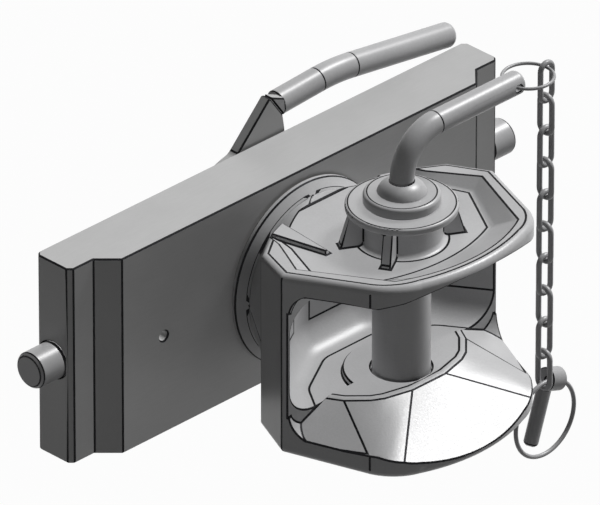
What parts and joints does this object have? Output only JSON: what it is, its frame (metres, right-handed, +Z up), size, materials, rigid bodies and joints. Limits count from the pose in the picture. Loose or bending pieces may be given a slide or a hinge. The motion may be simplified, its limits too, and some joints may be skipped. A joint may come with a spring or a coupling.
{
  "type": "swivelling clevis drawbar coupling on a ladder plate",
  "caption": "Swivelling clevis jaw on a slide-in ladder plate, with a hand-lifted coupling pin on a chain, sprung side locking pins and a rear release lever.",
  "frame": {"origin": "centre of the slide plate, on the common axis of its locking pins and of the jaw's journal", "axes": "+X along the plate's length, -Y out of the jaw's mouth, +Z up along the ladder rails and the coupling pin"},
  "size_m": [0.433, 0.2543, 0.2987],
  "materials": {
    "plate_steel": "rolled steel plate, satin",
    "cast_steel": "cast steel, shot-blasted",
    "pin_steel": "turned and hardened steel",
    "lever_steel": "forged and bent steel",
    "weld_metal": "as welded",
    "bush_bronze": "machined bronze",
    "fastener_steel": "zinc-plated steel",
    "spring_steel": "oiled spring steel",
    "chain_steel": "zinc-plated welded chain"
  },
  "bodies": {
    "plate": {"slide_plate": "plate_steel", "journal_bush": "bush_bronze", "rotor_sleeve": "pin_steel", "friction_washer": "bush_bronze", "left_lock_spring": "spring_steel", "right_lock_spring": "spring_steel"},
    "jaw": {"jaw": "cast_steel", "upper_pin_bush": "pin_steel", "lower_pin_bush": "pin_steel", "thrust_washer": "fastener_steel", "castle_nut": "fastener_steel", "cotter_pin": "fastener_steel"},
    "coupling_pin": {"coupling_pin": "pin_steel", "pin_cap": "pin_steel", "handle_collar": "weld_metal", "pin_handle": "lever_steel"},
    "wire_ring": {"wire_ring": "chain_steel"},
    "linch_ring": {"linch_ring": "spring_steel"},
    "linch_pin": {"linch_pin": "pin_steel"},
    "lever": {"rotor_plate": "lever_steel", "lever_handle": "lever_steel", "lever_weld": "weld_metal"},
    "left_lock": {"left_lock_pin": "pin_steel", "left_pin_stud": "pin_steel"},
    "right_lock": {"right_lock_pin": "pin_steel", "right_pin_stud": "pin_steel"},
    "chain_link_01": {"chain_link_01": "chain_steel"},
    "chain_link_02": {"chain_link_02": "chain_steel"},
    "chain_link_03": {"chain_link_03": "chain_steel"},
    "chain_link_04": {"chain_link_04": "chain_steel"},
    "chain_link_05": {"chain_link_05": "chain_steel"},
    "chain_link_06": {"chain_link_06": "chain_steel"},
    "chain_link_07": {"chain_link_07": "chain_steel"},
    "chain_link_08": {"chain_link_08": "chain_steel"},
    "chain_link_09": {"chain_link_09": "chain_steel"},
    "chain_link_10": {"chain_link_10": "chain_steel"}
  },
  "joints": [
    {"name": "jaw_swivel", "type": "hinge", "parent": "plate", "child": "jaw", "pos_m": [0, -0.0349, 0], "axis": [0, 1, 0], "range_deg": [-90, 90]},
    {"name": "pin_lift", "type": "slide", "parent": "jaw", "child": "coupling_pin", "axis": [0, 0, 1], "range_m": [0, 0.14]},
    {"name": "ring_swing", "type": "hinge", "parent": "coupling_pin", "child": "wire_ring", "pos_m": [0.099, -0.12, 0.132], "axis": [0, 1, 0], "range_deg": [-20, 60]},
    {"name": "link_01_hang", "type": "hinge", "parent": "wire_ring", "child": "chain_link_01", "pos_m": [0.1316, -0.12, 0.132], "axis": [0, 1, 0], "range_deg": [-60, 20]},
    {"name": "link_02_swing", "type": "hinge", "parent": "chain_link_01", "child": "chain_link_02", "pos_m": [0.1316, -0.12, 0.10745], "axis": [-1, 0, 0], "range_deg": [-3, 10]},
    {"name": "link_03_swing", "type": "hinge", "parent": "chain_link_02", "child": "chain_link_03", "pos_m": [0.1316, -0.12, 0.08365], "axis": [0, -1, 0], "range_deg": [-2, 12]},
    {"name": "link_04_swing", "type": "hinge", "parent": "chain_link_03", "child": "chain_link_04", "pos_m": [0.1316, -0.12, 0.05985], "axis": [-1, 0, 0], "range_deg": [-3, 10]},
    {"name": "link_05_swing", "type": "hinge", "parent": "chain_link_04", "child": "chain_link_05", "pos_m": [0.1316, -0.12, 0.03605], "axis": [0, -1, 0], "range_deg": [-2, 12]},
    {"name": "link_06_swing", "type": "hinge", "parent": "chain_link_05", "child": "chain_link_06", "pos_m": [0.1316, -0.12, 0.01225], "axis": [-1, 0, 0], "range_deg": [-3, 10]},
    {"name": "link_07_swing", "type": "hinge", "parent": "chain_link_06", "child": "chain_link_07", "pos_m": [0.1316, -0.12, -0.01155], "axis": [0, -1, 0], "range_deg": [-2, 12]},
    {"name": "link_08_swing", "type": "hinge", "parent": "chain_link_07", "child": "chain_link_08", "pos_m": [0.1316, -0.12, -0.03535], "axis": [-1, 0, 0], "range_deg": [-3, 10]},
    {"name": "link_09_swing", "type": "hinge", "parent": "chain_link_08", "child": "chain_link_09", "pos_m": [0.1316, -0.12, -0.05915], "axis": [0, -1, 0], "range_deg": [-2, 12]},
    {"name": "link_10_swing", "type": "hinge", "parent": "chain_link_09", "child": "chain_link_10", "pos_m": [0.1316, -0.12, -0.08295], "axis": [-1, 0, 0], "range_deg": [-3, 10]},
    {"name": "linch_ring_swing", "type": "hinge", "parent": "chain_link_10", "child": "linch_ring", "pos_m": [0.1316, -0.12, -0.10675], "axis": [0, 1, 0], "range_deg": [-15, 15]},
    {"name": "linch_pin_swing", "type": "hinge", "parent": "linch_ring", "child": "linch_pin", "pos_m": [0.14155, -0.12, -0.10508], "axis": [0.9455, 0, -0.3256], "range_deg": [0, 90]},
    {"name": "lever_lift", "type": "hinge", "parent": "plate", "child": "lever", "pos_m": [0, 0.0207, 0], "axis": [0, -1, 0], "range_deg": [0, 45], "stiffness_Nm_per_rad": 4, "springref_deg": -34.38},
    {"name": "left_pin_draw", "type": "slide", "parent": "plate", "child": "left_lock", "axis": [1, 0, 0], "range_m": [0, 0.022], "deforming": ["left_lock_spring"]},
    {"name": "right_pin_draw", "type": "slide", "parent": "plate", "child": "right_lock", "axis": [-1, 0, 0], "range_m": [0, 0.022], "deforming": ["right_lock_spring"]}
  ],
  "couplings": [
    {"joint": "link_01_hang", "follows": "ring_swing", "ratio": -1},
    {"joint": "left_pin_draw", "follows": "lever_lift", "m_per_rad": 0.028},
    {"joint": "right_pin_draw", "follows": "lever_lift", "m_per_rad": 0.028}
  ]
}
